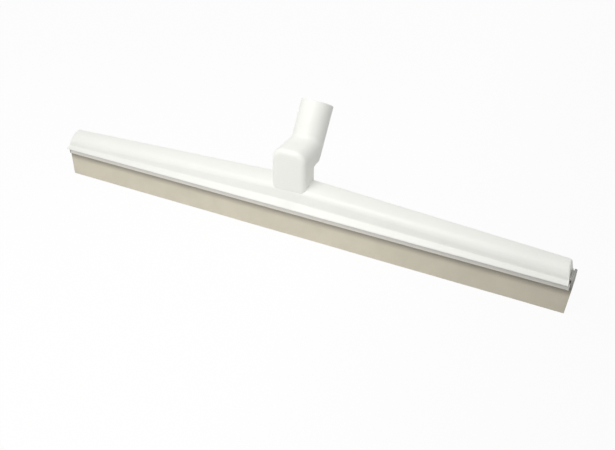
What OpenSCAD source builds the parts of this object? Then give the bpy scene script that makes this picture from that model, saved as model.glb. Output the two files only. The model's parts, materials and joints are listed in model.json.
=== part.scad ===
// Floor squeegee head: a hollow white shell with a leaning handle socket screwed on top, and a
// slide-in cassette that carries two foam rubber blades. Millimetres, +Z up, X along the blades.
// The origin lies on the floor, at the middle of the front blade's working edge; -Y is the front.

/* [Shell] */
// Length of the shell along its lips
head_len = 600; // [300:10:900]
// How far each lip stands out past the cassette's jaw
lip_over = 1.5; // [0.8:0.1:3]
// Thickness of the lip's outer edge
lip_t = 1.2; // [0.8:0.1:2]
// How far each lip's upper face slopes in from its edge
flare_in = 4.5; // [3.6:0.1:5]
// Height above the lips at which the walls start, at the two ends
end_foot = 3.2; // [2.6:0.1:5]
// Height above the lips at which the walls start, at the middle
mid_foot = 8.5; // [6:0.1:10]
// Height of the roof's rear edge above the lips, at the two ends
end_h = 17.6; // [15:0.2:22]
// Height of the roof's rear edge above the lips, at the middle
mid_h = 27.9; // [25:0.2:34]
// How much lower the roof's front edge is than its rear edge, at the two ends
end_fall = 5; // [3:0.1:6]
// How much lower the roof's front edge is than its rear edge, at the middle
mid_fall = 4.8; // [3:0.1:6]
// Width of the roof at the two ends
end_roof_w = 14.7; // [13:0.1:18]
// Distance of the roof's front edge from the cassette's middle, at the middle of the length
mid_roof_front = 10; // [9.5:0.1:12]
// Distance of the roof's rear edge from the cassette's middle, at the middle of the length
mid_roof_rear = 14.2; // [13.5:0.1:18]
// Rounding of the roof's front edge, at the two ends
end_shoulder_r = 4; // [1:0.1:5]
// Rounding of the roof's front edge, at the middle
mid_shoulder_r = 2.2; // [1:0.1:4]
// Rounding of the roof's rear edge
ridge_r = 2.2; // [0.8:0.1:3]
// How far the ends lean in, in degrees
end_lean = 11; // [0:0.5:18]
// Rounding where each end meets the roof
end_corner_r = 2.4; // [1:0.1:6]
// Side wall thickness
wall = 2.6; // [2:0.1:3.2]
// Roof thickness
roof_t = 3; // [2:0.1:4]
// Thickness of the shell's ends above the rail
end_wall = 3.2; // [2:0.1:6]
// Number of stiffening ribs inside each half of the shell
rib_count = 3; // [1:1:6]
// Thickness of a stiffening rib
rib_t = 2; // [1.5:0.1:3]

/* [Neck] */
// Width of the neck block at its front face
block_w = 40.2; // [34:0.2:44]
// How much narrower the block is where it meets the tube's axis
block_draft = 2.4; // [0:0.1:4]
// Depth of the neck block's foot
block_d = 24.6; // [22:0.2:30]
// Height of the neck block above its seat
block_h = 48.2; // [43:0.2:56]
// How far the block's front face stands out past the roof's front edge
block_proud = 0.4; // [0.2:0.1:2]
// Depth of the seat below the roof's rear edge
seat_depth = 7.6; // [7.2:0.1:9]
// Thickness of the pad in the roof under the block
pad_t = 3.7; // [3:0.1:6]
// Radius of the block's two upper corners, seen from the front
arch_r = 14; // [6:0.5:16]
// Rounding of the block's front edges
block_edge_r = 6; // [1:0.5:8]
// Lean of the socket tube, in degrees from upright
tube_lean = 33.6; // [20:0.2:45]
// Outside diameter of the tube at its mouth
mouth_od = 36; // [34:0.2:42]
// How much thicker the tube is at its root than at its mouth, on the diameter
tube_draft = 1.4; // [0.6:0.1:3]
// Distance from the block's front face back to the middle of the mouth
mouth_back = 72.4; // [66:0.2:90]
// Height of the middle of the mouth above the block's seat
mouth_up = 73.2; // [66:0.2:92]
// Height of the tube's flat underside above the block's seat
root_up = 22.2; // [19:0.2:26]
// Diameter of the threaded part of the handle socket
thread_d = 24; // [20:0.2:26]
// Length of the threaded part of the handle socket
thread_len = 34; // [24:0.5:36]
// Diameter of the plain recess at the mouth, which takes the end of the handle
recess_d = 31.6; // [28:0.2:32]
// Depth of that recess
recess_len = 11; // [6:0.5:14]
// Wall left around the core under the block
core_wall = 6; // [5:0.2:9]

/* [Neck fixing] */
// Screw diameter
screw_d = 4; // [3:0.1:5]
// Screw length under its head
screw_len = 18; // [14:0.5:24]
// Screw head diameter
screw_head_d = 7.6; // [6:0.1:9]
// Screw head height
screw_head_h = 2.6; // [2:0.1:4]
// Size of the recess for the driver bit, across its flats
drive_af = 3; // [2:0.1:4]
// Depth of that recess in the screw head
drive_depth = 1.6; // [1:0.1:1.9]
// Distance between screws along the head
screw_dx = 24; // [20:0.5:26]
// Distance between screws across the head
screw_dy = 9.5; // [8:0.5:12]
// Thickness of the backing plate inside the shell
plate_t = 2; // [1:0.1:3]
// Length of the backing plate along the head
plate_len = 36; // [34:0.5:44]

/* [Cassette] */
// Thickness of one blade
blade_t = 5; // [4:0.5:9]
// Space between the two blades
blade_gap = 9; // [8:0.5:14]
// Height of blade that shows below the jaws
blade_drop = 31.2; // [18:0.2:45]
// How much shorter the blades are at their free edge than at the jaws, at the right end
blade_slant = 2; // [0:0.1:4]
// Depth of blade that the jaws hold
blade_grip = 3.2; // [3:0.2:8]
// Thickness of a jaw
jaw_t = 4; // [1.5:0.1:5]
// Thickness of the two inner lips between the blades
inner_lip_t = 2; // [1.5:0.1:2.4]
// Thickness of the plate that joins the jaws
bridge_t = 2; // [1.5:0.1:4]
// Width of the rail's head, which runs in the shell
rail_head_w = 15.4; // [13:0.2:16]
// Thickness of the rail's head
rail_head_t = 2.2; // [1.6:0.1:2.6]
// Width of the rail's stem
rail_stem_w = 10; // [7:0.2:11]
// Thickness of the shell's return lips, which hold the rail
return_t = 2; // [1.6:0.1:2.4]
// Clearance around every sliding face
slide_clear = 0.3; // [0.2:0.05:0.5]
// Thickness of the right end cap, which stands proud as a pull
right_cap_t = 2.5; // [1.2:0.1:5]
// Height of the right end cap above the shell's lips
right_cap_up = 7.4; // [5:0.1:8]
// Rounding of the right end cap's upper corners
right_cap_r = 4.5; // [1:0.5:5]
// Space between the shell's right end and that cap
right_cap_gap = 1.1; // [0.2:0.1:2]
// How far the left end cap stands inside the blades' left end
left_inset = 2.5; // [1:0.1:5]
// Thickness of the left end cap
left_cap_t = 1.2; // [1:0.1:2]
// Length of the peg that holds each cap
peg_len = 12; // [6:1:20]

/* [Hidden] */
$fn = 64;
// Smallest thickness of a slice that only marks a section
slice = 0.02;
// Overrun of a cutting tool past the face it cuts
over = 1;
// Play of parts that are pressed or dropped into place by hand
fit_clear = 0.1;
// Facets of a circle that is hulled
hull_fn = 32;
// Facets of a circle that only marks a point
point_fn = 6;
// Least step between the rear wall and the edge of the lip under it
rear_step = 0.2;
// Steps in which the roof's curve is drawn
roof_steps = 4;

// Heights, from the floor up
lip_z = blade_drop + blade_grip + bridge_t + slide_clear;
bridge_z = blade_drop + blade_grip;
slot_head_z = lip_z + return_t;
rail_head_z = slot_head_z + slide_clear;
slot_top_z = rail_head_z + rail_head_t + slide_clear;
end_roof_z = lip_z + end_h;
mid_roof_z = lip_z + mid_h;
seat_z = mid_roof_z - seat_depth;
pad_z = seat_z - pad_t;

// Places across the head
mid_y = (blade_t + blade_gap) / 2;
jaw_half = blade_gap / 2 + blade_t + jaw_t;
lip_half = jaw_half + lip_over;
foot_half = lip_half - flare_in;
block_front_y = mid_y - mid_roof_front - block_proud;
block_rear_y = block_front_y + block_d;
end_x = head_len / 2;

// Handle socket: its axis lies in the plane x = 0
mouth_c = [0, block_front_y + mouth_back, seat_z + mouth_up];
tube_dir = [0, sin(tube_lean), cos(tube_lean)];
root_z = seat_z + root_up;
block_top_z = seat_z + block_h;
// Where the axis is, front to back, at height z
function tube_y(z) = mouth_c[1] - (mouth_c[2] - z) * tan(tube_lean);
// Length of the tube, from far enough inside the block to the mouth
tube_len = (mouth_up - root_up) / cos(tube_lean) + mouth_od / 2 * tan(tube_lean) + over;

// Neck fixing
pad_half = block_w / 2 + wall;
cavity_front_y = mid_y - foot_half + wall;
cavity_rear_y = mid_y + mid_roof_rear - wall;
screw_mid_y = (cavity_front_y + cavity_rear_y) / 2;
plate_z = pad_z - plate_t;
pilot_up = screw_len - plate_t - pad_t + over;

// Cassette
carrier_x0 = -end_x + left_inset + left_cap_t;
carrier_x1 = end_x + right_cap_gap;
slot_x0 = carrier_x0 - slide_clear;
slot_w = rail_stem_w + 2 * slide_clear;
slot_head_w = rail_head_w + 2 * slide_clear;
channel_w = blade_gap - 2 * inner_lip_t;
cap_half = blade_gap / 2 + blade_t;

// Block between two corners
module span(a, b) {
    translate(a) cube(b - a);
}

// Flat outline drawn in (Y, Z), drawn out along X from x0 to x1
module along_x(x0, x1) {
    translate([x0, 0, 0]) rotate([90, 0, 90]) linear_extrude(x1 - x0) children();
}

// Flat outline drawn in (X, Z), drawn out along Y from y0 to y1
module along_y(y0, y1) {
    translate([0, y1, 0]) rotate([90, 0, 0]) linear_extrude(y1 - y0) children();
}

// What has to go from a square corner at p to leave a round one; s points into the material
module corner_off(p, s, r) {
    translate(p) difference() {
        translate([for (k = s) k > 0 ? -over : -r]) square(r + over);
        translate([s[0] * r, s[1] * r]) circle(r);
    }
}

// Thin disc across X, a corner of a section that is hulled along the head
module corner_disc(x, y, z, r) {
    translate([x, y, z]) rotate([0, 90, 0])
        cylinder(h = slice, r = r, center = true, $fn = r > slice ? hull_fn : point_fn);
}

// One section of the shell's upper part, moved in by side and top; mid is true at mid-length
module upper_section(x, mid, side, top, low_z) {
    front = mid ? mid_roof_front : end_roof_w / 2;
    rear = mid ? mid_roof_rear : end_roof_w / 2;
    roof_z = (mid ? mid_roof_z : end_roof_z) - top;
    fall = mid ? mid_fall : end_fall;
    foot = mid ? mid_foot : end_foot;
    front_r = max((mid ? mid_shoulder_r : end_shoulder_r) - side, slice);
    rear_r = max(ridge_r - side, slice);
    front_y = mid_y - front + side + front_r;
    rear_y = mid_y + rear - side - rear_r;
    // The front wall runs straight down from the roof's edge through the place where it starts
    lean = (foot_half - front) / ((mid ? mid_h : end_h) - fall - foot);
    low_front = foot_half + lean * (lip_z + foot - low_z);
    low_rear = mid ? lip_half - rear_step : foot_half;
    span([x - slice / 2, mid_y - low_front + side, low_z],
         [x + slice / 2, mid_y + low_rear - side, low_z + slice]);
    corner_disc(x, front_y, roof_z - fall - front_r, front_r);
    // The roof climbs steeply from its front edge and is level at its rear edge
    for (t = [1 / roof_steps:1 / roof_steps:1])
        corner_disc(x, front_y + t * (rear_y - front_y), roof_z - fall * pow(1 - t, 2) - rear_r, rear_r);
}

// Upper part of the shell on one side of the middle, or the hollow inside it
module upper_half(s, x, side, top, low_z) {
    hull() {
        upper_section(s * x, false, side, top, low_z);
        upper_section(0, true, side, top, low_z);
    }
}

// One section of the lips, whose upper faces run on into the walls
module lip_section(x, mid) {
    foot = mid ? mid_foot : end_foot;
    slope = (foot - lip_t) / flare_in;
    inner = foot_half - over;
    span([x - slice / 2, mid_y - lip_half, lip_z], [x + slice / 2, mid_y + lip_half, lip_z + lip_t]);
    span([x - slice / 2, mid_y - inner, lip_z],
         [x + slice / 2, mid_y + inner, lip_z + foot + over * slope]);
}

// Both lips on one side of the middle
module lip_half_length(s) {
    hull() {
        lip_section(s * end_x, false);
        lip_section(0, true);
    }
}

// The shell seen from the front, with its leaning ends, in (X, Z)
module front_outline() {
    corner_z = end_roof_z - end_corner_r;
    corner_x = end_x - (corner_z - lip_z) * tan(end_lean) - end_corner_r / cos(end_lean);
    hull() {
        for (s = [-1, 1]) {
            translate([s * (end_x - slice / 2), lip_z + slice / 2]) square(slice, center = true);
            translate([s * corner_x, corner_z]) circle(end_corner_r, $fn = hull_fn);
        }
        translate([0, mid_roof_z]) circle(slice, $fn = point_fn);
    }
}

// Hollow above the rail, left solid where the ribs stand and in the pad under the neck block
module shell_hollow() {
    hollow_x = end_x - end_wall - (end_roof_z - lip_z) * tan(end_lean);
    difference() {
        for (s = [-1, 1]) upper_half(s, hollow_x, wall, roof_t, slot_top_z);
        for (s = [-1, 1], i = [1:rib_count])
            translate([s * hollow_x * i / (rib_count + 0.5), mid_y, slot_top_z + mid_h / 2])
                cube([rib_t, 4 * lip_half, mid_h], center = true);
        span([-pad_half, mid_y - lip_half, pad_z], [pad_half, mid_y + lip_half, mid_roof_z]);
    }
}

// The neck block seen from above, grown by play and cut off at rear_y
module block_plan(play, rear_y) {
    w = block_w / 2 + play;
    f = block_front_y - play;
    narrow = block_draft / 2 * (rear_y - f) / (tube_y(block_top_z) - f);
    difference() {
        polygon([[-w, f], [w, f], [w - narrow, rear_y], [-w + narrow, rear_y]]);
        for (s = [-1, 1]) corner_off([s * w, f], [-s, 1], block_edge_r);
    }
}

module at_screws() {
    for (sx = [-1, 1], sy = [-1, 1])
        translate([sx * screw_dx / 2, screw_mid_y + sy * screw_dy / 2, 0]) children();
}

module head_shell() {
    color([0.95, 0.95, 0.94]) difference() {
        intersection() {
            for (s = [-1, 1]) {
                lip_half_length(s);
                upper_half(s, end_x, 0, 0, lip_z);
            }
            along_y(mid_y - 2 * lip_half, mid_y + 2 * lip_half) front_outline();
        }
        shell_hollow();
        // Seat of the neck block
        translate([0, 0, seat_z]) linear_extrude(seat_depth + over)
            block_plan(fit_clear, block_rear_y + over);
        at_screws() translate([0, 0, pad_z - over])
            cylinder(h = pad_t + 2 * over, d = screw_d + 2 * fit_clear);
        // Rail slot, open at the right end
        span([slot_x0, mid_y - slot_w / 2, lip_z - over], [end_x + over, mid_y + slot_w / 2, slot_top_z]);
        span([slot_x0, mid_y - slot_head_w / 2, slot_head_z],
             [end_x + over, mid_y + slot_head_w / 2, slot_top_z]);
    }
}

// The neck block seen from the side, ending on the tube's axis, in (Y, Z)
module block_side() {
    difference() {
        polygon([[block_front_y, seat_z], [block_front_y, block_top_z], [tube_y(block_top_z), block_top_z],
                 [tube_y(root_z), root_z], [block_rear_y, root_z], [block_rear_y, seat_z]]);
        corner_off([block_front_y, block_top_z], [1, -1], block_edge_r);
    }
}

// The neck block seen from the front, in (X, Z)
module block_front() {
    side_h = block_h - arch_r;
    translate([-block_w / 2, seat_z]) square([block_w, side_h]);
    translate([-block_w / 2 + arch_r, seat_z]) square([block_w - 2 * arch_r, block_h]);
    for (s = [-1, 1]) translate([s * (block_w / 2 - arch_r), seat_z + side_h]) circle(arch_r);
}

// Children drawn along +Z from the mouth outwards are turned onto the tube's axis
module at_mouth() {
    translate(mouth_c) rotate([-tube_lean, 0, 0]) children();
}

module neck_socket() {
    far_y = mouth_c[1] + mouth_od;
    core_w = screw_dx - 2 * core_wall;
    core_top = root_z - core_wall;
    color([0.94, 0.94, 0.93]) difference() {
        union() {
            intersection() {
                along_x(-block_w, block_w) block_side();
                along_y(block_front_y - over, far_y) block_front();
                translate([0, 0, seat_z]) linear_extrude(block_h + over) block_plan(0, far_y);
            }
            intersection() {
                at_mouth() translate([0, 0, -tube_len])
                    cylinder(h = tube_len, d1 = mouth_od + tube_draft, d2 = mouth_od);
                span([-mouth_od, block_front_y, root_z], [mouth_od, far_y, mouth_c[2] + mouth_od]);
            }
        }
        at_mouth() translate([0, 0, -recess_len]) cylinder(h = recess_len + over, d = recess_d);
        at_mouth() translate([0, 0, -recess_len - thread_len])
            cylinder(h = thread_len + over, d = thread_d);
        at_screws() translate([0, 0, seat_z - over])
            cylinder(h = pilot_up + over, d = screw_d + 2 * fit_clear);
        // Core that keeps the moulding's walls even
        span([-core_w / 2, block_front_y + core_wall, seat_z - over],
             [core_w / 2, block_rear_y - core_wall, core_top]);
    }
}

module backing_plate() {
    y0 = cavity_front_y + over;
    y1 = cavity_rear_y - over;
    color([0.72, 0.73, 0.74]) difference() {
        span([-plate_len / 2, y0, plate_z], [plate_len / 2, y1, pad_z]);
        at_screws() translate([0, 0, plate_z - over])
            cylinder(h = plate_t + 2 * over, d = screw_d + 2 * fit_clear);
    }
}

module neck_screws() {
    color([0.75, 0.76, 0.77]) at_screws() difference() {
        translate([0, 0, plate_z]) union() {
            cylinder(h = screw_len, d = screw_d);
            translate([0, 0, -screw_head_h]) cylinder(h = screw_head_h, d = screw_head_d);
        }
        translate([0, 0, plate_z - screw_head_h - over])
            cylinder(h = drive_depth + over, d = drive_af / cos(30), $fn = 6);
    }
}

// The carrier's end with room for the two blades, in (Y, Z)
module jaw_outline() {
    difference() {
        translate([mid_y - jaw_half, blade_drop]) square([2 * jaw_half, blade_grip + bridge_t]);
        for (s = [-1, 1])
            translate([mid_y + s * (blade_gap + blade_t) / 2 - blade_t / 2, blade_drop - over])
                square([blade_t, blade_grip + over]);
    }
}

// Jaws, bridge and inner lips of the carrier, in (Y, Z)
module carrier_outline() {
    difference() {
        jaw_outline();
        translate([mid_y - channel_w / 2, blade_drop - over]) square([channel_w, blade_grip + over]);
    }
}

// Rail of the carrier, in (Y, Z)
module rail_outline() {
    stem_z = bridge_z + bridge_t;
    translate([mid_y - rail_stem_w / 2, stem_z - over])
        square([rail_stem_w, rail_head_z - stem_z + 2 * over]);
    translate([mid_y - rail_head_w / 2, rail_head_z]) square([rail_head_w, rail_head_t]);
}

module cassette_carrier() {
    color([0.84, 0.85, 0.85]) union() {
        along_x(carrier_x0, carrier_x1) carrier_outline();
        along_x(carrier_x0, carrier_x1) rail_outline();
    }
}

// A blade whose middle plane is at y. Its right end, cut on the slant, runs out under the cap
module blade(y) {
    cap_x = carrier_x1 + right_cap_t;
    under_z = blade_drop - fit_clear;
    color([0.78, 0.75, 0.69]) along_y(y - blade_t / 2, y + blade_t / 2)
        polygon([[-end_x, 0], [cap_x - blade_slant, 0], [cap_x, under_z], [carrier_x1, under_z],
                 [carrier_x1, bridge_z], [-end_x, bridge_z]]);
}

module front_blade() {
    blade(0);
}

module rear_blade() {
    blade(blade_t + blade_gap);
}

// Peg that sits in the channel between the carrier's inner lips
module cap_peg(x0, x1) {
    span([x0, mid_y - channel_w / 2 + fit_clear, blade_drop + fit_clear],
         [x1, mid_y + channel_w / 2 - fit_clear, bridge_z - fit_clear]);
}

module right_end_cap() {
    cap_h = lip_z + right_cap_up - blade_drop;
    color([0.5, 0.5, 0.48]) union() {
        along_x(carrier_x1, carrier_x1 + right_cap_t) difference() {
            translate([mid_y - cap_half, blade_drop]) square([2 * cap_half, cap_h]);
            for (s = [-1, 1]) corner_off([mid_y + s * cap_half, blade_drop + cap_h], [-s, -1], right_cap_r);
        }
        cap_peg(carrier_x1 - peg_len, carrier_x1 + over);
    }
}

module left_end_cap() {
    color([0.5, 0.5, 0.48]) union() {
        along_x(carrier_x0 - left_cap_t, carrier_x0) jaw_outline();
        cap_peg(carrier_x0 - left_cap_t / 2, carrier_x0 + peg_len);
    }
}

head_shell();
neck_socket();
backing_plate();
neck_screws();
cassette_carrier();
front_blade();
rear_blade();
right_end_cap();
left_end_cap();
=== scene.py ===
"""Looks of a floor squeegee head: a white moulded shell with a leaning handle socket and a slide-in
cassette of two foam rubber blades. Metres, +Z up, X along the blades, -Y to the front."""

import json
import math

import bmesh
import bpy
from bpy.props import FloatProperty, FloatVectorProperty, IntProperty, PointerProperty
from mathutils import Matrix, Quaternion, Vector, noise

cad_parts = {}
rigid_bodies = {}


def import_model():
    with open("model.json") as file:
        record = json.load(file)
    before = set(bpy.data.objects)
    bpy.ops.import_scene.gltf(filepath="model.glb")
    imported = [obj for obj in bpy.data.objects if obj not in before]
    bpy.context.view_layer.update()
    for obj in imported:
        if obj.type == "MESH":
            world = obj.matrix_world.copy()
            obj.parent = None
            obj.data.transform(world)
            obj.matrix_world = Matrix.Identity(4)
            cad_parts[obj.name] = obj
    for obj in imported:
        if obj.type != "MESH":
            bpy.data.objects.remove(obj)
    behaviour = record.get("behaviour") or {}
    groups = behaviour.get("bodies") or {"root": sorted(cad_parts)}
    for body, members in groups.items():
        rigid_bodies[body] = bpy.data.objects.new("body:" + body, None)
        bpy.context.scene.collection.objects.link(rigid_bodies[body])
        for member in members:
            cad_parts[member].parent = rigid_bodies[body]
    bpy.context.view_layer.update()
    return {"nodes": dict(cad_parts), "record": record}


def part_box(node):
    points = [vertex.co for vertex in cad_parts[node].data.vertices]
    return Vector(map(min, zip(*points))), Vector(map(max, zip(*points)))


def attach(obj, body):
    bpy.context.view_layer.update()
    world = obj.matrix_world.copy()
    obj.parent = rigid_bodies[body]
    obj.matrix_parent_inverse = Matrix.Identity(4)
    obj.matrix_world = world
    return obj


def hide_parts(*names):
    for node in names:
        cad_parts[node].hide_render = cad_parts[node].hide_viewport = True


bl_info = {
    "name": "Floor squeegee head",
    "version": (1, 0, 0),
    "blender": (4, 5, 0),
    "location": "3D View > Sidebar > Squeegee",
    "description": "Builds the finished surfaces of a floor squeegee head around its frame",
    "category": "Object",
}

for startup_object in list(bpy.data.objects):
    bpy.data.objects.remove(startup_object)
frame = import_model()
MOUNTS = {mount["name"]: mount for mount in frame["record"]["mounts"]}

MM = 0.001
# Faces that meet at less than FLAT are one face. At more than SHARP they have an edge to round, and at
# more than CRISP they keep a crisp edge when shaded
FLAT = math.radians(0.5)
SHARP = math.radians(30)
CRISP = math.radians(38)
# Points closer together than this are one point
SAME = 1e-6
# Steps in which the shell's shoulder, its roof and the corners at its ends are drawn
ROUND_STEPS = 6
ROOF_STEPS = 6
CORNER_STEPS = 6
# Steps in which the rim of the socket's mouth is drawn, and one turn of its thread
RIM_STEPS = 4
TURN_STEPS = 48
# Half the width of the thread's foot and of its crest, as shares of its pitch
THREAD_FOOT, THREAD_CREST = 0.28, 0.12
# Reach of the fillet between tube and block, as a share of the tube's radius
FILLET_REACH = 0.8
# Bays into which a blade is cut along its length, how quickly its wave changes along it, and how far the
# waves of the two blades differ
BLADE_BAYS = 91
WAVE_RATE = 14
WAVE_SHIFT = 50
# Sockets of a node that mixes colours: the share, the two colours and the result
MIX_SHARE, MIX_A, MIX_B, MIX_RESULT = 0, 6, 7, 2
# Range that holds nearly all of a noise texture's values
NOISE_LOW, NOISE_HIGH = 0.3, 0.7


def length(name, description, default):
    """A size in metres."""
    return FloatProperty(name=name, description=description, default=default, unit="LENGTH", precision=5)


def angle(name, description, degrees):
    """An angle, given in degrees."""
    return FloatProperty(
        name=name, description=description, default=math.radians(degrees), subtype="ANGLE"
    )


def number(name, description, default):
    """A count."""
    return IntProperty(name=name, description=description, default=default, min=0)


def factor(name, description, default):
    """A share, or the strength of a light."""
    return FloatProperty(name=name, description=description, default=default, subtype="FACTOR", min=0.0)


def vector(name, description, default, **kind):
    """A place or a direction."""
    return FloatVectorProperty(name=name, description=description, default=default, precision=4, **kind)


def colour(name, description, default):
    """A colour, as the surface shows it in plain light."""
    return FloatVectorProperty(
        name=name, description=description, default=default, subtype="COLOR", min=0.0, max=1.0
    )


class ShellSizes(bpy.types.PropertyGroup):
    """Section of the long shell, at its middle and at its ends"""

    lip_t: length("Lip thickness", "Thickness of the lip's outer edge", 1.2 * MM)
    flare_in: length("Flare width", "How far each lip's upper face slopes in from its edge", 4.5 * MM)
    mid_foot: length("Middle foot", "Start of the front wall above the lips, at mid-length", 8.5 * MM)
    end_foot: length("End foot", "Start of the front wall above the lips, at the ends", 3.2 * MM)
    mid_h: length("Middle height", "Roof's rear edge above the lips, at mid-length", 27.9 * MM)
    end_h: length("End height", "Roof's rear edge above the lips, at the ends", 17.6 * MM)
    mid_fall: length("Middle roof fall", "Drop of the roof to its front edge, at mid-length", 4.8 * MM)
    end_fall: length("End roof fall", "Drop of the roof to its front edge, at the ends", 5 * MM)
    mid_front: length("Middle roof, front", "Roof's front edge from the cassette's middle", 10 * MM)
    mid_rear: length("Middle roof, rear", "Roof's rear edge from the cassette's middle", 14.2 * MM)
    end_half: length("End roof", "Half the roof's width at the ends", 7.35 * MM)
    end_lean: angle("End lean", "How far the ends lean in", 11)
    mid_shoulder: length("Middle shoulder", "Reach of the front edge's rounding, at mid-length", 4 * MM)
    end_shoulder: length("End shoulder", "Reach of the front edge's rounding, at the ends", 7.5 * MM)
    ridge_r: length("Ridge", "Rounding of the roof's rear edge", 2.2 * MM)
    end_corner_r: length("End corner", "Rounding where each end meets the roof", 2 * MM)
    foot_r: length("Foot", "Rounding where the wall runs out into the lip", 3.4 * MM)
    edge_r: length("Lip edge", "Rounding of the lip's outer edges", 0.4 * MM)
    end_edge_r: length("End edge", "Rounding of the ends' outline", 0.5 * MM)
    crown_r: length("Crown", "Length over which the two halves run into each other", 16 * MM)
    wall: length("Wall", "Thickness of the walls around the hollow", 2.6 * MM)
    roof_t: length("Roof thickness", "Thickness of the roof over the hollow", 3 * MM)
    end_wall: length("End wall", "Thickness of the wall at each end of the hollow", 3.2 * MM)
    ribs: number("Ribs", "Ribs in each half of the hollow", 3)
    rib_t: length("Rib thickness", "Thickness of a rib", 2 * MM)
    pad_half: length("Pad", "Half the length of the pad under the neck", 22.7 * MM)
    stem_half: length("Rail stem", "Half the width of the carrier's rail at its stem", 5 * MM)
    rail_half: length("Rail head", "Half the width of the carrier's rail at its head", 7.7 * MM)
    return_t: length("Slot return", "Thickness of the two edges that hold the rail", 2 * MM)
    slot_play: length("Slot play", "Gap between the rail and its slot", 0.3 * MM)


class NeckSizes(bpy.types.PropertyGroup):
    """The arched block and the tube that takes the handle"""

    block_w: length("Block width", "Width of the block at its front face", 40.2 * MM)
    block_top: length("Block top", "Height of the block's top above the floor", 105.2 * MM)
    block_rear: length("Block rear", "Where the foot's rear face is, front to back", 21.2 * MM)
    root: length("Tube underside", "Height of the tube's flat underside", 79.2 * MM)
    draft: length("Draft", "How much narrower the block is at the tube", 2.4 * MM)
    arch_r: length("Arch", "Radius of the block's two upper corners", 14 * MM)
    rim_r: length("Face rim", "Rounding around the block's front face", 5.5 * MM)
    face_y: length("Face", "Where the block's front face is, front to back", -3.1 * MM)
    tube_r: length("Tube radius", "Outside radius of the tube at its mouth", 18 * MM)
    tube_draft: length("Tube draft", "How much larger that radius is at the root", 0.7 * MM)
    mouth_r: length("Mouth rounding", "Rounding of the mouth's outer edge", 0.9 * MM)
    cell: length("Cell", "Size of the cells that blend block and tube", 0.75 * MM)
    blend: number("Blend", "Passes that soften every edge", 5)
    fillet: number("Fillet", "More passes where tube and block meet", 36)
    plain_mouth: length("Plain mouth", "Length of tube at the mouth that isn't softened", 8 * MM)
    lead: length("Lead", "Chamfer at the mouth of the recess and of the bore", 0.6 * MM)
    pitch: length("Thread pitch", "Rise of the socket's thread in one turn", 5 * MM)
    thread_depth: length("Thread depth", "How far the thread stands in from the bore", 1.2 * MM)
    thread_sink: length("Thread sink", "How far the thread's root is sunk in the wall", 0.1 * MM)


class CassetteSizes(bpy.types.PropertyGroup):
    """Roundings of the pieces that slide out together and of the neck's fixing, and the blades' finish,
    with a band of painted shadow under the jaws
    """

    jaw_r: length("Jaw rounding", "Rounding of the carrier's and the caps' edges", 0.35 * MM)
    cap_r: length("Cap rounding", "Rounding around the right cap's outer face", 1.1 * MM)
    blade_r: length("Blade rounding", "Rounding of the blades' cut edges", 0.45 * MM)
    blade_wave: length("Blade wave", "How far a blade's free edge wanders from straight", 0.25 * MM)
    # Painted shadow: the blades' colour darkens towards the jaws, where the jaws' overhang shades them
    painted_shadow_band: length("Dark band", "Height of the darker band on the blades under the jaws", 10.5 * MM)
    painted_shadow_tone: factor("Band tone", "Share of the foam's colour that is left at the jaws", 0.45)
    metal_r: length("Metal rounding", "Rounding of the plate's and the screws' edges", 0.25 * MM)


class Colours(bpy.types.PropertyGroup):
    """Colours of the materials"""

    white: colour("White plastic", "Shell and neck", (0.90, 0.902, 0.857))
    grey: colour("Grey plastic", "Carrier", (0.71, 0.69, 0.638))
    # Painted shade: the caps' grey plastic is darkened to stand for the shade that the right cap lies in
    # beside the shell's end
    painted_shade_grey: colour("Dark grey plastic", "End caps", (0.345, 0.345, 0.33))
    foam: colour("Foam rubber", "Blades", (0.665, 0.62, 0.508))
    steel: colour("Stainless steel", "Backing plate and screws", (0.62, 0.62, 0.61))


class StageSizes(bpy.types.PropertyGroup):
    """Camera, light and floor"""

    eye: vector("Camera", "Where the camera stands", (0.3271, -0.636, 0.4959), unit="LENGTH")
    look: vector("View", "Direction in which the camera looks", (-0.3577, 0.7467, -0.5612))
    roll: angle("Roll", "Turn of the camera about its view", 0.62)
    lens: FloatProperty(name="Lens", description="Focal length in millimetres", default=45.62)
    sky_front: factor("Front sky", "Strength of the sky in front", 0.59)
    sky_back: factor("Back sky", "Strength of the sky behind", 0.34)
    sky_away: vector("Sky direction", "Direction from the sky's front to its back", (-0.35, 0.94, 0.0))
    sky_start: FloatProperty(
        name="Sky start", default=-0.3, description="Where the sky starts to dim: -1 is in front, 1 behind"
    )
    sky_end: FloatProperty(
        name="Sky end", default=0.9, description="Where the sky is dimmest: -1 is in front, 1 behind"
    )
    key: FloatProperty(name="Key lamp", description="Power of the lamp above", default=2.83, unit="POWER")
    key_place: vector("Key lamp place", "Where that lamp hangs", (-0.08, -0.33, 0.68), unit="LENGTH")
    key_aim: vector("Key lamp aim", "What that lamp points at", (-0.02, 0.0, 0.04), unit="LENGTH")
    key_size: length("Key lamp size", "Width of that lamp", 0.5)
    floor_half: length("Floor", "Half the floor's side", 4.0)
    floor_under: length("Floor gap", "How far the floor lies below the blades", 0.2 * MM)
    floor_start: length("Floor fade start", "Where the floor starts to darken to the right", 0.06)
    floor_end: length("Floor fade end", "Where the floor is at its darkest", 0.36)
    floor_light: factor("Light floor", "Tone of the floor's light part", 0.9)
    floor_dark: factor("Dark floor", "Tone of the floor's dark part", 0.42)
    floor_white: factor("White floor", "Share of plain white that the camera sees", 0.95)


GROUPS = {
    "squeegee_shell": ShellSizes,
    "squeegee_neck": NeckSizes,
    "squeegee_cassette": CassetteSizes,
    "squeegee_colours": Colours,
    "squeegee_stage": StageSizes,
}


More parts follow.
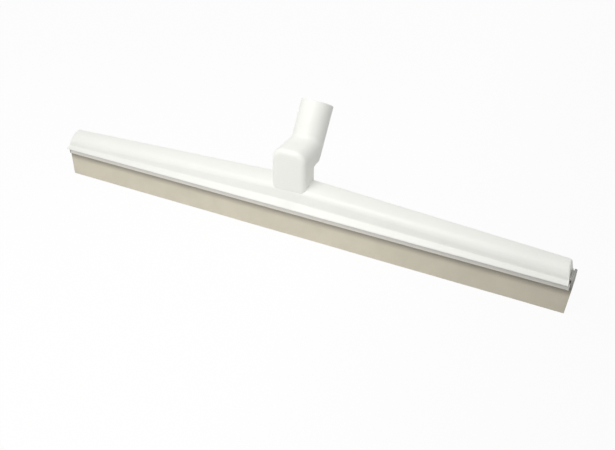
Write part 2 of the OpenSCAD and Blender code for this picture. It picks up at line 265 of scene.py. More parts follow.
def new_piece(name, bm, body, material):
    """A finished mesh that rides on a body and takes its finish from a material slot."""
    mesh = bpy.data.meshes.new(name)
    bm.to_mesh(mesh)
    bm.free()
    mesh.shade_smooth()
    mesh.set_sharp_from_angle(angle=CRISP)
    mesh.materials.append(material)
    piece = bpy.data.objects.new(name, mesh)
    bpy.context.scene.collection.objects.link(piece)
    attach(piece, body)
    return piece


def even_normals(piece):
    """Keeps broad faces flat to the eye beside their narrow roundings."""
    weighted = piece.modifiers.new("Even normals", "WEIGHTED_NORMAL")
    weighted.keep_sharp = True


def round_edges(bm, edges, radius, segments):
    """Rounds edges, convex or hollow."""
    bmesh.ops.bevel(
        bm, geom=edges, offset=radius, offset_type="OFFSET", segments=segments, profile=0.5,
        affect="EDGES", clamp_overlap=True, material=-1,
    )


def sharp_edges(bm, least=SHARP):
    """Edges at which two faces meet at more than an angle."""
    return [e for e in bm.edges if len(e.link_faces) == 2 and e.calc_face_angle() > least]


def rim_at(bm, x):
    """Edges around a face that stands across the length at x."""
    return [e for e in sharp_edges(bm) if all(abs(v.co.x - x) < SAME for v in e.verts)]


def cad_copy(node):
    """The mesh of a frame node, closed and with its flat faces whole."""
    bm = bmesh.new()
    bm.from_mesh(frame["nodes"][node].data)
    bmesh.ops.remove_doubles(bm, verts=bm.verts, dist=SAME)
    bmesh.ops.dissolve_limit(bm, angle_limit=FLAT, verts=bm.verts, edges=bm.edges)
    return bm


def whole(bm):
    """Everything that a mesh is made of."""
    return bm.verts[:] + bm.edges[:] + bm.faces[:]


def outline_face(bm, points):
    """One face through a few points."""
    return bm.faces.new([bm.verts.new(point) for point in points])


def pull(bm, face, way):
    """Draws a face out into a closed block. Gives the points of its far face."""
    out = bmesh.ops.extrude_face_region(bm, geom=[face], use_keep_orig=True)["geom"]
    moved = [v for v in out if isinstance(v, bmesh.types.BMVert)]
    bmesh.ops.translate(bm, verts=moved, vec=way)
    bmesh.ops.recalc_face_normals(bm, faces=bm.faces)
    return moved


def work_object(name, bm):
    """An object that stands in the scene only while a modifier reads it."""
    mesh = bpy.data.meshes.new(name)
    bm.to_mesh(mesh)
    bm.free()
    work = bpy.data.objects.new(name, mesh)
    bpy.context.scene.collection.objects.link(work)
    return work


def settled(work, *others):
    """The mesh that an object's modifiers make, as a bmesh. The objects are then taken away."""
    bm = bmesh.new()
    bm.from_mesh(work.evaluated_get(bpy.context.evaluated_depsgraph_get()).to_mesh())
    for used in (work, *others):
        mesh = used.data
        bpy.data.objects.remove(used)
        bpy.data.meshes.remove(mesh)
    return bm


def cut_away(bm, tool):
    """One solid less another."""
    work = work_object("solid", bm)
    cutter = work_object("cutter", tool)
    cut = work.modifiers.new("Cut", "BOOLEAN")
    cut.operation = "DIFFERENCE"
    cut.solver = "EXACT"
    cut.object = cutter
    return settled(work, cutter)


def grown_together(bm, cell):
    """Solids that reach into each other, as one even skin."""
    work = work_object("cells", bm)
    remesh = work.modifiers.new("Cells", "REMESH")
    remesh.mode = "VOXEL"
    remesh.voxel_size = cell
    return settled(work)


# Materials


def node_material(name):
    """A new material with its node tree and its shader."""
    material = bpy.data.materials.new(name)
    material.use_nodes = True
    return material, material.node_tree, material.node_tree.nodes["Principled BSDF"]


def link(tree, source, target):
    """Joins an output to an input."""
    tree.links.new(source, target)


def add(tree, kind, **settings):
    """A node with some of its settings and inputs set. An input's name has its spaces as underscores."""
    node = tree.nodes.new(kind)
    for key, value in settings.items():
        if hasattr(node, key):
            setattr(node, key, value)
        else:
            node.inputs[key.replace("_", " ")].default_value = value
    return node


def surface_group():
    """Group shared by the plastics, the foam and the steel: slow clouds of tone, and a fine grain."""
    group = bpy.data.node_groups.get("moulded_surface")
    if group:
        return group
    group = bpy.data.node_groups.new("moulded_surface", "ShaderNodeTree")
    for name in ("Cloud Scale", "Grain Scale", "Stretch"):
        group.interface.new_socket(name, in_out="INPUT", socket_type="NodeSocketFloat")
    for name in ("Cloud", "Grain"):
        group.interface.new_socket(name, in_out="OUTPUT", socket_type="NodeSocketFloat")
    entry = add(group, "NodeGroupInput")
    exit_node = add(group, "NodeGroupOutput")
    place = add(group, "ShaderNodeTexCoord")
    squeeze = add(group, "ShaderNodeCombineXYZ", Y=1.0, Z=1.0)
    link(group, entry.outputs["Stretch"], squeeze.inputs["X"])
    scaled = add(group, "ShaderNodeVectorMath", operation="MULTIPLY")
    link(group, place.outputs["Object"], scaled.inputs[0])
    link(group, squeeze.outputs["Vector"], scaled.inputs[1])
    for name, scale, detail in (("Cloud", "Cloud Scale", 3.0), ("Grain", "Grain Scale", 2.0)):
        texture = add(group, "ShaderNodeTexNoise", Detail=detail, Roughness=0.55)
        link(group, scaled.outputs["Vector"], texture.inputs["Vector"])
        link(group, entry.outputs[scale], texture.inputs["Scale"])
        link(group, texture.outputs["Fac"], exit_node.inputs[name])
    return group


def surface_node(tree, cloud, grain, stretch):
    """That group, placed in a material with its own values."""
    surface = add(tree, "ShaderNodeGroup", node_tree=surface_group())
    surface.inputs["Cloud Scale"].default_value = cloud
    surface.inputs["Grain Scale"].default_value = grain
    surface.inputs["Stretch"].default_value = stretch
    return surface


def ranged(tree, value, start, end, low, high, target):
    """Feeds a value into a socket, so that what runs from start to end there runs from low to high."""
    reach = add(tree, "ShaderNodeMapRange", From_Min=start, From_Max=end, To_Min=low, To_Max=high)
    link(tree, value, reach.inputs["Value"])
    link(tree, reach.outputs["Result"], target)


def two_tone(tree, value, dark, light, target):
    """Feeds a mix of two colours into a socket."""
    mix = add(tree, "ShaderNodeMix", data_type="RGBA")
    mix.inputs[MIX_A].default_value = (*dark, 1.0)
    mix.inputs[MIX_B].default_value = (*light, 1.0)
    ranged(tree, value, NOISE_LOW, NOISE_HIGH, 0.0, 1.0, mix.inputs[MIX_SHARE])
    link(tree, mix.outputs[MIX_RESULT], target)


def bumped(tree, shader, value, depth, strength):
    """Feeds a height into the shader's normal."""
    bump = add(tree, "ShaderNodeBump", Strength=strength, Distance=depth)
    link(tree, value, bump.inputs["Height"])
    link(tree, bump.outputs["Normal"], shader.inputs["Normal"])


def shade(tint, share):
    """A colour made darker, or lighter, by a share."""
    return tuple(min(1.0, channel * share) for channel in tint)


def plastic(name, tint, stretch, grain_depth, rough):
    """Polypropylene: an even colour with faint clouds and a fine moulded or drawn grain."""
    material = bpy.data.materials.get(name)
    if material:
        return material
    material, tree, shader = node_material(name)
    surface = surface_node(tree, cloud=22.0, grain=1500.0, stretch=stretch)
    cloud = surface.outputs["Cloud"]
    two_tone(tree, cloud, shade(tint, 0.985), shade(tint, 1.012), shader.inputs["Base Color"])
    ranged(tree, cloud, NOISE_LOW, NOISE_HIGH, rough - 0.04, rough + 0.05, shader.inputs["Roughness"])
    bumped(tree, shader, surface.outputs["Grain"], depth=grain_depth, strength=0.35)
    shader.inputs["IOR"].default_value = 1.49
    return material


def white_plastic():
    """White mouldings: the shell, the neck and the socket's thread."""
    tint = bpy.context.scene.squeegee_colours.white
    return plastic("white_moulding", tint, stretch=1.0, grain_depth=0.03 * MM, rough=0.46)


def grey_plastic():
    """The carrier's grey extrusion, whose grain runs along it."""
    tint = bpy.context.scene.squeegee_colours.grey
    return plastic("grey_extrusion", tint, stretch=0.02, grain_depth=0.05 * MM, rough=0.45)


def painted_shade_grey_plastic():
    """The end caps' grey plastic mouldings, darkened by painted shade for the shade that the right cap
    lies in beside the shell's end.
    """
    tint = bpy.context.scene.squeegee_colours.painted_shade_grey
    return plastic("grey_moulding_painted_shade", tint, stretch=1.0, grain_depth=0.03 * MM, rough=0.45)


def foam_rubber():
    """Closed-cell foam rubber: cut cells on every face, a slightly mottled colour, and painted shadow: a
    band under the jaws that is darker where their overhang shades the blades."""
    material = bpy.data.materials.get("cut_foam")
    if material:
        return material
    material, tree, shader = node_material("cut_foam")
    tint = bpy.context.scene.squeegee_colours.foam
    sizes = bpy.context.scene.squeegee_cassette
    surface = surface_node(tree, cloud=35.0, grain=900.0, stretch=1.0)
    place = add(tree, "ShaderNodeTexCoord")
    cells = add(tree, "ShaderNodeTexVoronoi", Scale=1100.0, Randomness=1.0)
    link(tree, place.outputs["Object"], cells.inputs["Vector"])
    pores = add(tree, "ShaderNodeMath", operation="MULTIPLY")
    link(tree, cells.outputs["Distance"], pores.inputs[0])
    link(tree, surface.outputs["Grain"], pores.inputs[1])
    # The tone is that of the clouds, with a quarter of the pores' height on top
    tone = add(tree, "ShaderNodeMath", operation="MULTIPLY_ADD")
    tone.inputs[1].default_value = 0.25
    link(tree, pores.outputs["Value"], tone.inputs[0])
    link(tree, surface.outputs["Cloud"], tone.inputs[2])
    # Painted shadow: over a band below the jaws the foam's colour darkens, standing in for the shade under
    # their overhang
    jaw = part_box("cassette_carrier")[0].z
    height = add(tree, "ShaderNodeSeparateXYZ")
    link(tree, place.outputs["Object"], height.inputs["Vector"])
    band = add(tree, "ShaderNodeMix", data_type="RGBA")
    band.inputs[MIX_B].default_value = (*shade(tint, sizes.painted_shadow_tone), 1.0)
    ranged(tree, height.outputs["Z"], jaw - sizes.painted_shadow_band, jaw, 0.0, 1.0, band.inputs[MIX_SHARE])
    two_tone(tree, tone.outputs["Value"], shade(tint, 0.95), shade(tint, 1.03), band.inputs[MIX_A])
    link(tree, band.outputs[MIX_RESULT], shader.inputs["Base Color"])
    bumped(tree, shader, pores.outputs["Value"], depth=0.15 * MM, strength=0.5)
    shader.inputs["Roughness"].default_value = 0.82
    shader.inputs["Specular IOR Level"].default_value = 0.3
    return material


def stainless_steel():
    """Plain stainless steel with a drawn grain."""
    material = bpy.data.materials.get("stainless_steel")
    if material:
        return material
    material, tree, shader = node_material("stainless_steel")
    tint = bpy.context.scene.squeegee_colours.steel
    surface = surface_node(tree, cloud=90.0, grain=2500.0, stretch=0.03)
    cloud = surface.outputs["Cloud"]
    grain = surface.outputs["Grain"]
    two_tone(tree, cloud, shade(tint, 0.93), shade(tint, 1.05), shader.inputs["Base Color"])
    ranged(tree, grain, NOISE_LOW, NOISE_HIGH, 0.24, 0.38, shader.inputs["Roughness"])
    shader.inputs["Metallic"].default_value = 1.0
    return material


# Shell


def mixed(a, b, share):
    """A value part of the way from one to another."""
    return a + (b - a) * share


def shell_corners(sizes, share, drop=0.0):
    """Where the front foot, the shoulder, the ridge and the rear foot of the shell are, as (y, z).
    Share is 0 at the middle of the shell and 1 at its ends, and the roof can be dropped."""
    low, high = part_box("head_shell")
    mid_y = (low.y + high.y) / 2
    lip_half = (high.y - low.y) / 2
    foot_half = lip_half - sizes.flare_in
    foot = low.z + mixed(sizes.mid_foot, sizes.end_foot, share)
    roof = low.z + mixed(sizes.mid_h, sizes.end_h, share) - drop
    fall = mixed(sizes.mid_fall, sizes.end_fall, share)
    return (
        Vector((mid_y - foot_half, foot)),
        Vector((mid_y - mixed(sizes.mid_front, sizes.end_half, share), roof - fall)),
        Vector((mid_y + mixed(sizes.mid_rear, sizes.end_half, share), roof)),
        Vector((mid_y + mixed(lip_half, foot_half, share), foot)),
    )


def roof_line(sizes, share, drop):
    """The curve from the front wall over the shoulder to the ridge."""
    foot, shoulder, ridge, _ = shell_corners(sizes, share, drop)
    across = ridge - shoulder

    def roof(t):
        return shoulder + Vector((across.x * t, across.y * (1 - (1 - t) ** 2)))

    reach = mixed(sizes.mid_shoulder, sizes.end_shoulder, share)
    first = shoulder + (foot - shoulder).normalized() * reach
    start = reach / math.hypot(across.x, 2 * across.y)
    last = roof(start)
    line = []
    for k in range(ROUND_STEPS + 1):
        t = k / ROUND_STEPS
        line.append(first * (1 - t) ** 2 + shoulder * 2 * t * (1 - t) + last * t ** 2)
    line += [roof(mixed(start, 1.0, k / ROOF_STEPS)) for k in range(1, ROOF_STEPS + 1)]
    return line


def shell_section(sizes, share, drop=0.0):
    """The shell's outline across its length, front lip first, as (y, z)."""
    low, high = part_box("head_shell")
    lip_top = low.z + sizes.lip_t
    foot, _, _, rear_foot = shell_corners(sizes, share, drop)
    line = [(low.y, low.z), (low.y, lip_top), foot, *roof_line(sizes, share, drop)]
    return line + [rear_foot, (high.y, lip_top), (high.y, low.z)]


def skin(bm, outlines):
    """Joins a row of outlines with faces. Gives the edges from outline to outline, corner by corner."""
    rings = [[bm.verts.new(point) for point in outline] for outline in outlines]
    corners = range(len(rings[0]))
    loops = [[bm.edges.new((ring[i - 1], ring[i])) for i in corners] for ring in rings]
    for near, far in zip(loops, loops[1:]):
        bmesh.ops.bridge_loops(bm, edges=near + far)
    return [[bm.edges.get((a[i], b[i])) for a, b in zip(rings, rings[1:])] for i in corners]


def close_ends(bm):
    """Fills every open rim."""
    bmesh.ops.holes_fill(bm, edges=[e for e in bm.edges if e.is_boundary], sides=0)
    bmesh.ops.recalc_face_normals(bm, faces=bm.faces)


def shell_half(sizes):
    """The right half of the shell's outside, open at the middle."""
    low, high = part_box("head_shell")
    slope = math.tan(sizes.end_lean)
    corner = sizes.end_corner_r
    full = math.pi / 2 - sizes.end_lean
    end_top = low.z + sizes.end_h - corner * (1 - math.cos(full))
    outlines = [
        [(x, y, z) for y, z in shell_section(sizes, x / high.x)]
        for x in (0.0, sizes.crown_r)
    ]
    for k in range(CORNER_STEPS + 1):
        turn = full * k / CORNER_STEPS
        back = corner * (math.sin(full) - math.sin(turn))
        section = shell_section(sizes, 1.0, corner * (1 - math.cos(turn)))
        outlines.append([(high.x - (min(z, end_top) - low.z) * slope - back, y, z) for y, z in section])
    bm = bmesh.new()
    along = skin(bm, outlines)
    front_lip, rear_lip = along[0] + along[1], along[-2] + along[-1]
    front_foot, rear_foot, ridge = along[2], along[-3], along[-4]
    round_edges(bm, front_foot + rear_foot, sizes.foot_r, segments=4)
    round_edges(bm, ridge, sizes.ridge_r, segments=5)
    round_edges(bm, front_lip + rear_lip, sizes.edge_r, segments=2)
    rim = [e for e in bm.edges if e.is_boundary and min(v.co.x for v in e.verts) > high.x / 2]
    end_face = bmesh.ops.edgeloop_fill(bm, edges=rim)["faces"][0]
    bmesh.ops.recalc_face_normals(bm, faces=bm.faces)
    crisp = [e for e in sharp_edges(bm) if end_face in e.link_faces]
    round_edges(bm, crisp, sizes.end_edge_r, segments=3)
    return bm


def bar(ends):
    """A closed block between two outlines."""
    bm = bmesh.new()
    skin(bm, ends)
    close_ends(bm)
    return bm


def slot_cuts(sizes):
    """The rail's slot: room for the rail's head, and the narrower mouth for its stem."""
    low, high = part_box("head_shell")
    rail_low, rail_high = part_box("cassette_carrier")
    play = sizes.slot_play
    mid_y = (low.y + high.y) / 2
    head_z = low.z + sizes.return_t
    for half, floor, top in (
        (sizes.rail_half, head_z, rail_high.z + play),
        (sizes.stem_half, low.z - MM, head_z + MM),
    ):
        sides = (mid_y - half - play, mid_y + half + play)
        section = [(sides[0], floor), (sides[0], top), (sides[1], top), (sides[1], floor)]
        yield bar([[(x, y, z) for y, z in section] for x in (rail_low.x - play, high.x + MM)])


def hollow_cuts(sizes):
    """The hollow above the slot, bay by bay between the ribs, and the low bay under the neck's pad."""
    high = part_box("head_shell")[1]
    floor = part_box("cassette_carrier")[1].z + sizes.slot_play - MM
    pad_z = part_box("backing_plate")[1].z
    hollow_x = high.x - sizes.end_wall - sizes.end_h * math.tan(sizes.end_lean)
    # The last bay of each half is half as long as the space between two ribs
    ribs = [hollow_x * i / (sizes.ribs + 0.5) for i in range(1, sizes.ribs + 1)]
    starts = [sizes.pad_half] + [x + sizes.rib_t / 2 for x in ribs]
    ends = [x - sizes.rib_t / 2 for x in ribs] + [hollow_x]
    bays = [(side * a, side * b) for a, b in zip(starts, ends) for side in (-1, 1)]
    pad_bay = (-sizes.pad_half - MM, sizes.pad_half + MM)
    for bay in bays + [pad_bay]:
        outlines = []
        for x in bay:
            _, front, rear, rear_foot = shell_corners(sizes, abs(x) / high.x)
            wall = sizes.wall
            roof = (front.y - sizes.roof_t, rear.y - sizes.roof_t)
            if bay == pad_bay:
                # Its sides stand clear of the planes of the other bays' sides
                wall = sizes.wall - sizes.slot_play
                roof = (pad_z, pad_z)
            sides = (front.x + wall, min(rear.x, rear_foot.x) - wall)
            section = [(sides[0], floor), (sides[0], roof[0]), (sides[1], roof[1]), (sides[1], floor)]
            outlines.append([(x, y, z) for y, z in section])
        yield bar(outlines)


def shell_solid(sizes):
    """The shell's closed outside with its slot and hollow cut out of it."""
    bm = shell_half(sizes)
    bmesh.ops.mirror(bm, geom=whole(bm), merge_dist=SAME, axis="X")
    bmesh.ops.recalc_face_normals(bm, faces=bm.faces)
    for tool in (*slot_cuts(sizes), *hollow_cuts(sizes)):
        bm = cut_away(bm, tool)
    bmesh.ops.remove_doubles(bm, verts=bm.verts, dist=SAME)
    return bm


class BuildShell(bpy.types.Operator):
    """Build the long white shell with its lips, shoulders and leaning ends"""

    bl_idname = "squeegee.shell"
    bl_label = "Shell"

    def execute(self, context):
        sizes = context.scene.squeegee_shell
        piece = new_piece("shell", shell_solid(sizes), "head", white_plastic())
        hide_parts("head_shell")
        even_normals(piece)
        return {"FINISHED"}


# Neck


def socket_axis():
    """The middle of the socket's mouth and the direction out of it."""
    recess = MOUNTS["handle_recess"]
    axis = Vector(recess["axis"]).normalized()
    return Vector(recess["pos_m"]) + axis * recess["dims"]["length_mm"] * MM / 2, axis


def neck_tube(bm, sizes, spare):
    """The tube, longer than it will be at its mouth and cut flat at its root."""
    mouth, axis = socket_axis()
    reach = (mouth.z - sizes.root) / axis.z + sizes.tube_r
    growth = sizes.tube_draft / reach
    turn = axis.to_track_quat("Z", "Y").to_matrix().to_4x4()
    place = Matrix.Translation(mouth + axis * (spare - reach) / 2) @ turn
    bmesh.ops.create_cone(
        bm, cap_ends=True, segments=96, depth=reach + spare, matrix=place,
        radius1=sizes.tube_r + sizes.tube_draft, radius2=sizes.tube_r - growth * spare,
    )
    root = Vector((0, 0, sizes.root))
    cut = bmesh.ops.bisect_plane(bm, geom=whole(bm), plane_co=root, plane_no=(0, 0, 1), clear_inner=True)
    rim = [e for e in cut["geom_cut"] if isinstance(e, bmesh.types.BMEdge)]
    bmesh.ops.edgeloop_fill(bm, edges=rim)


def neck_block(bm, sizes):
    """The arched block, from its front face back to the tube's axis, where it is a little narrower."""
    mouth, axis = socket_axis()
    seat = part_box("neck_socket")[0].z
    lean = axis.y / axis.z
    front = sizes.face_y
    half = sizes.block_w / 2
    side = [
        (front, seat),
        (front, sizes.block_top),
        (mouth.y - (mouth.z - sizes.block_top) * lean, sizes.block_top),
        (mouth.y - (mouth.z - sizes.root) * lean, sizes.root),
        (sizes.block_rear, sizes.root),
        (sizes.block_rear, seat),
    ]
    face = outline_face(bm, [(-half, y, z) for y, z in side])
    own = set(face.verts)
    own.update(pull(bm, face, (sizes.block_w, 0, 0)))
    top = []
    for e in {e for v in own for e in v.link_edges}:
        a, b = (v.co for v in e.verts)
        if min(a.z, b.z) > sizes.block_top - SAME and abs(a.x - b.x) < SAME:
            top.append(e)
    round_edges(bm, top, sizes.arch_r, segments=12)
    rim = [
        e for e in sharp_edges(bm, math.radians(60))
        if all(abs(v.co.y - front) < SAME for v in e.verts) and max(v.co.z for v in e.verts) > seat + MM
    ]
    round_edges(bm, rim, sizes.rim_r, segments=8)
    depth = side[2][0] - front
    for v in bm.verts:
        if v.co.y < depth and v.co.z < mouth.z - sizes.tube_r:
            v.co.x *= 1 - sizes.draft / sizes.block_w * max(v.co.y - front, 0.0) / depth


def smooth(bm, verts):
    """One pass that moves points half of the way to the middle of their neighbours."""
    bmesh.ops.smooth_vert(
        bm, verts=verts, factor=0.5, use_axis_x=True, use_axis_y=True, use_axis_z=True
    )


def soften(bm, sizes):
    """Rounds every edge a little, and fills the corner between tube and block."""
    mouth, axis = socket_axis()
    for _ in range(sizes.blend):
        smooth(bm, [v for v in bm.verts if (mouth - v.co).dot(axis) > sizes.plain_mouth])
    joint = mouth - axis * ((mouth.z - sizes.block_top) / axis.z)
    corner = Vector((joint.y - sizes.tube_r / axis.z, sizes.block_top))
    reach = sizes.tube_r * FILLET_REACH
    for _ in range(sizes.fillet):
        smooth(bm, [v for v in bm.verts if (v.co.yz - corner).length < reach])


def open_mouth(bm, sizes):
    """Cuts the tube at its mouth, rounds the rim and sinks the recess and the bore."""
    mouth, axis = socket_axis()
    recess = MOUNTS["handle_recess"]["dims"]
    bore = MOUNTS["handle_socket"]["dims"]
    rim = sizes.mouth_r
    recess_r = recess["r_mm"] * MM
    recess_d = recess["length_mm"] * MM
    bore_r = bore["r_mm"] * MM
    lead = sizes.lead
    cut = bmesh.ops.bisect_plane(
        bm, geom=whole(bm), plane_co=mouth - axis * rim, plane_no=axis, clear_outer=True, dist=SAME / 10
    )
    loop = [e for e in cut["geom_cut"] if isinstance(e, bmesh.types.BMEdge)]
    face = bmesh.ops.edgeloop_fill(bm, edges=loop)["faces"][0]
    if face.normal.dot(axis) < 0:
        face.normal_flip()
    steps = []
    for k in range(1, RIM_STEPS + 1):
        turn = math.pi / 2 * k / RIM_STEPS
        steps.append((sizes.tube_r - rim * (1 - math.cos(turn)), rim * (math.sin(turn) - 1)))
    steps += [
        (recess_r + lead, 0.0),
        (recess_r, -lead),
        (recess_r, -recess_d),
        (bore_r + lead, -recess_d),
        (bore_r, -recess_d - lead),
        (bore_r, -recess_d - bore["length_mm"] * MM),
    ]
    for radius, depth in steps:
        out = bmesh.ops.extrude_face_region(bm, geom=[face, *face.edges])["geom"]
        face = next(f for f in out if isinstance(f, bmesh.types.BMFace))
        for v in face.verts:
            across = v.co - mouth
            across -= axis * across.dot(axis)
            v.co = mouth + axis * depth + across.normalized() * radius


class BuildNeck(bpy.types.Operator):
    """Build the white neck: an arched block that runs into the leaning handle tube"""

    bl_idname = "squeegee.neck"
    bl_label = "Neck"

    def execute(self, context):
        sizes = context.scene.squeegee_neck
        bm = bmesh.new()
        neck_tube(bm, sizes, spare=4 * MM)
        neck_block(bm, sizes)
        bm = grown_together(bm, sizes.cell)
        soften(bm, sizes)
        open_mouth(bm, sizes)
        piece = new_piece("neck", bm, "head", white_plastic())
        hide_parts("neck_socket")
        return {"FINISHED"}


class BuildThread(bpy.types.Operator):
    """Build the thread inside the handle socket"""

    bl_idname = "squeegee.thread"
    bl_label = "Socket thread"

    def execute(self, context):
        sizes = context.scene.squeegee_neck
        mouth, axis = socket_axis()
        bore = MOUNTS["handle_socket"]["dims"]
        radius = bore["r_mm"] * MM
        run = bore["length_mm"] * MM - sizes.pitch
        start = mouth - axis * (MOUNTS["handle_recess"]["dims"]["length_mm"] * MM + sizes.pitch / 2)
        foot = axis * sizes.pitch * THREAD_FOOT
        crest = axis * sizes.pitch * THREAD_CREST
        root = start + Vector((radius + sizes.thread_sink, 0, 0))
        tip = start + Vector((radius - sizes.thread_depth, 0, 0))
        bm = bmesh.new()
        face = outline_face(bm, [root + foot, tip + crest, tip - crest, root - foot])
        steps = int(run / sizes.pitch * TURN_STEPS)
        bmesh.ops.spin(
            bm, geom=[face], cent=start, axis=axis, dvec=-axis * sizes.pitch / TURN_STEPS,
            angle=math.tau * steps / TURN_STEPS, steps=steps, use_duplicate=False,
        )
        bmesh.ops.holes_fill(bm, edges=bm.edges, sides=4)
        bmesh.ops.recalc_face_normals(bm, faces=bm.faces)
        new_piece("socket_thread", bm, "head", white_plastic())
        return {"FINISHED"}


class BuildFixing(bpy.types.Operator):
    """Build the backing plate and the screws that hold the neck"""

    bl_idname = "squeegee.fixing"
    bl_label = "Neck fixing"

    def execute(self, context):
        radius = context.scene.squeegee_cassette.metal_r
        for name, node in (("plate", "backing_plate"), ("screws", "neck_screws")):
            bm = cad_copy(node)
            round_edges(bm, sharp_edges(bm), radius, segments=2)
            piece = new_piece(name, bm, "head", stainless_steel())
            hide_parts(node)
        return {"FINISHED"}


# Cassette


def rounded_copy(node, rim_r, edge_r):
    """A frame node's mesh with rounded edges, whose right end has a rounding of its own."""
    bm = cad_copy(node)
    round_edges(bm, rim_at(bm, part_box(node)[1].x), rim_r, segments=4)
    round_edges(bm, sharp_edges(bm), edge_r, segments=3)
    return bm


class BuildCarrier(bpy.types.Operator):
    """Build the grey carrier with its jaws and its rail"""

    bl_idname = "squeegee.carrier"
    bl_label = "Carrier"

    def execute(self, context):
        sizes = context.scene.squeegee_cassette
        bm = rounded_copy("cassette_carrier", sizes.jaw_r, sizes.jaw_r)
        piece = new_piece("carrier", bm, "cassette", grey_plastic())
        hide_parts("cassette_carrier")
        even_normals(piece)
        return {"FINISHED"}


class BuildCaps(bpy.types.Operator):
    """Build the caps at the carrier's two ends, in grey plastic darkened by painted shade"""

    bl_idname = "squeegee.caps"
    bl_label = "End caps"

    def execute(self, context):
        sizes = context.scene.squeegee_cassette
        for name, node, rim_r in (
            ("cap_right", "right_end_cap", sizes.cap_r),
            ("cap_left", "left_end_cap", sizes.jaw_r),
        ):
            bm = rounded_copy(node, rim_r, sizes.jaw_r)
            # Painted shade: the darkened grey stands for the shade beside the shell's right end
            piece = new_piece(name, bm, "cassette", painted_shade_grey_plastic())
            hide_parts(node)
            even_normals(piece)
        return {"FINISHED"}


class BuildBlades(bpy.types.Operator):
    """Build the two foam rubber blades"""

    bl_idname = "squeegee.blades"
    bl_label = "Blades"

    def execute(self, context):
        sizes = context.scene.squeegee_cassette
        for name, node in (("blade_front", "front_blade"), ("blade_rear", "rear_blade")):
            low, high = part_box(node)
            bm = cad_copy(node)
            round_edges(bm, sharp_edges(bm), sizes.blade_r, segments=3)
            for k in range(1, BLADE_BAYS):
                place = Vector((mixed(low.x, high.x, k / BLADE_BAYS), 0, 0))
                bmesh.ops.bisect_plane(bm, geom=whole(bm), plane_co=place, plane_no=(1, 0, 0))
            for v in bm.verts:
                free = 1 - (v.co.z - low.z) / (high.z - low.z)
                drift = noise.noise(Vector((v.co.x * WAVE_RATE, low.y * WAVE_SHIFT, 0)))
                v.co.y += sizes.blade_wave * free * drift
            piece = new_piece(name, bm, "cassette", foam_rubber())
            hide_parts(node)
            even_normals(piece)
        return {"FINISHED"}


# Stage


def seen_white(tree, lit, share):
    """Shows a share of plain white to the camera and to mirrors, over what the light shows."""
    path = add(tree, "ShaderNodeLightPath")
    seen = path.outputs["Is Camera Ray"]
    for ray in ("Is Glossy Ray", "Is Transmission Ray"):
        either = add(tree, "ShaderNodeMath", operation="MAXIMUM")
        link(tree, seen, either.inputs[0])
        link(tree, path.outputs[ray], either.inputs[1])
        seen = either.outputs["Value"]
    part = add(tree, "ShaderNodeMath", operation="MULTIPLY")
    part.inputs[1].default_value = share
    link(tree, seen, part.inputs[0])
    mix = add(tree, "ShaderNodeMixShader")
    link(tree, part.outputs["Value"], mix.inputs["Fac"])
    link(tree, lit, mix.inputs[1])
    return mix


def build_floor(sizes):
    """A pale floor, darker to the right, that the camera sees as almost plain white."""
    bm = bmesh.new()
    bmesh.ops.create_grid(bm, x_segments=1, y_segments=1, size=sizes.floor_half)
    bmesh.ops.translate(bm, verts=bm.verts, vec=(0, 0, -sizes.floor_under))
    mesh = bpy.data.meshes.new("floor")
    bm.to_mesh(mesh)
    bm.free()
    floor = bpy.data.objects.new("floor", mesh)
    bpy.context.scene.collection.objects.link(floor)
    material, tree, shader = node_material("pale_floor")
    place = add(tree, "ShaderNodeTexCoord")
    along = add(tree, "ShaderNodeSeparateXYZ")
    link(tree, place.outputs["Object"], along.inputs["Vector"])
    ranged(
        tree, along.outputs["X"], sizes.floor_start, sizes.floor_end, sizes.floor_light, sizes.floor_dark,
        shader.inputs["Base Color"],
    )
    shader.inputs["Roughness"].default_value = 0.9
    shader.inputs["Specular IOR Level"].default_value = 0.0
    mix = seen_white(tree, shader.outputs["BSDF"], sizes.floor_white)
    white = add(tree, "ShaderNodeEmission", Color=(1.0, 1.0, 1.0, 1.0), Strength=1.0)
    link(tree, white.outputs["Emission"], mix.inputs[2])
    link(tree, mix.outputs["Shader"], tree.nodes["Material Output"].inputs["Surface"])
    mesh.materials.append(material)


def build_sky(sizes):
    """A plain sky that is dimmer behind the object, and white where the camera sees it."""
    world = bpy.data.worlds.new("sky")
    bpy.context.scene.world = world
    world.use_nodes = True
    tree = world.node_tree
    lit = tree.nodes["Background"]
    lit.inputs["Color"].default_value = (1.0, 1.0, 1.0, 1.0)
    place = add(tree, "ShaderNodeTexCoord")
    away = add(tree, "ShaderNodeVectorMath", operation="DOT_PRODUCT")
    away.inputs[1].default_value = sizes.sky_away
    link(tree, place.outputs["Generated"], away.inputs[0])
    ranged(
        tree, away.outputs["Value"], sizes.sky_start, sizes.sky_end, sizes.sky_front, sizes.sky_back,
        lit.inputs["Strength"],
    )
    mix = seen_white(tree, lit.outputs["Background"], 1.0)
    white = add(tree, "ShaderNodeBackground", Color=(1.0, 1.0, 1.0, 1.0), Strength=1.0)
    link(tree, white.outputs["Background"], mix.inputs[2])
    link(tree, mix.outputs["Shader"], tree.nodes["World Output"].inputs["Surface"])


def add_lamp(name, place, aim, side, power):
    """A round lamp that hangs at a place and points at another."""
    lamp = bpy.data.lights.new(name, "AREA")
    lamp.shape = "DISK"
    lamp.size = side
    lamp.energy = power
    holder = bpy.data.objects.new(name, lamp)
    bpy.context.scene.collection.objects.link(holder)
    holder.location = place
    holder.rotation_mode = "QUATERNION"
    holder.rotation_quaternion = (Vector(aim) - Vector(place)).to_track_quat("-Z", "Y")


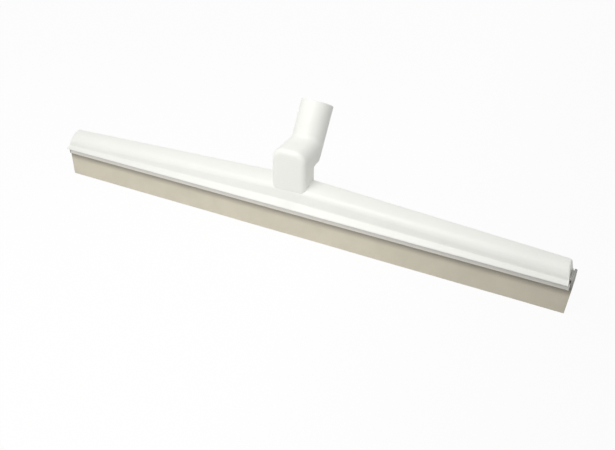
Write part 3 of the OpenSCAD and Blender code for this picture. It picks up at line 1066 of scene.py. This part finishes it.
class BuildStage(bpy.types.Operator):
    """Set up the camera, the light and a plain pale floor"""

    bl_idname = "squeegee.stage"
    bl_label = "Stage"

    def execute(self, context):
        sizes = context.scene.squeegee_stage
        context.scene.view_settings.view_transform = "Standard"
        lens = bpy.data.cameras.new("camera")
        lens.lens = sizes.lens
        lens.sensor_width = 36.0
        lens.sensor_fit = "HORIZONTAL"
        camera = bpy.data.objects.new("camera", lens)
        context.scene.collection.objects.link(camera)
        camera.location = sizes.eye
        camera.rotation_mode = "QUATERNION"
        level = Vector(sizes.look).to_track_quat("-Z", "Y")
        camera.rotation_quaternion = level @ Quaternion((0, 0, 1), sizes.roll)
        context.scene.camera = camera
        build_floor(sizes)
        build_sky(sizes)
        add_lamp("key_lamp", sizes.key_place, sizes.key_aim, sizes.key_size, sizes.key)
        return {"FINISHED"}


BUILDERS = (
    BuildStage, BuildShell, BuildNeck, BuildThread, BuildFixing, BuildCarrier, BuildCaps, BuildBlades,
)


class SqueegeePanel(bpy.types.Panel):
    """Lists the builders and their sizes"""

    bl_idname = "VIEW3D_PT_squeegee"
    bl_label = "Floor squeegee head"
    bl_space_type = "VIEW_3D"
    bl_region_type = "UI"
    bl_category = "Squeegee"

    def draw(self, context):
        for builder in BUILDERS:
            self.layout.operator(builder.bl_idname)
        for name, group in GROUPS.items():
            box = self.layout.box()
            for key in group.__annotations__:
                box.prop(getattr(context.scene, name), key)


CLASSES = (*GROUPS.values(), *BUILDERS, SqueegeePanel)


def register():
    """Makes the sizes, the builders and the panel known to Blender."""
    for item in CLASSES:
        bpy.utils.register_class(item)
    for name, group in GROUPS.items():
        setattr(bpy.types.Scene, name, PointerProperty(type=group))


def unregister():
    """Takes them away again."""
    for name in GROUPS:
        delattr(bpy.types.Scene, name)
    for item in reversed(CLASSES):
        bpy.utils.unregister_class(item)


def main():
    """Builds the stage and every piece."""
    register()
    bpy.ops.squeegee.stage()
    bpy.ops.squeegee.shell()
    bpy.ops.squeegee.neck()
    bpy.ops.squeegee.thread()
    bpy.ops.squeegee.fixing()
    bpy.ops.squeegee.carrier()
    bpy.ops.squeegee.caps()
    bpy.ops.squeegee.blades()


if __name__ == "__main__":
    main()
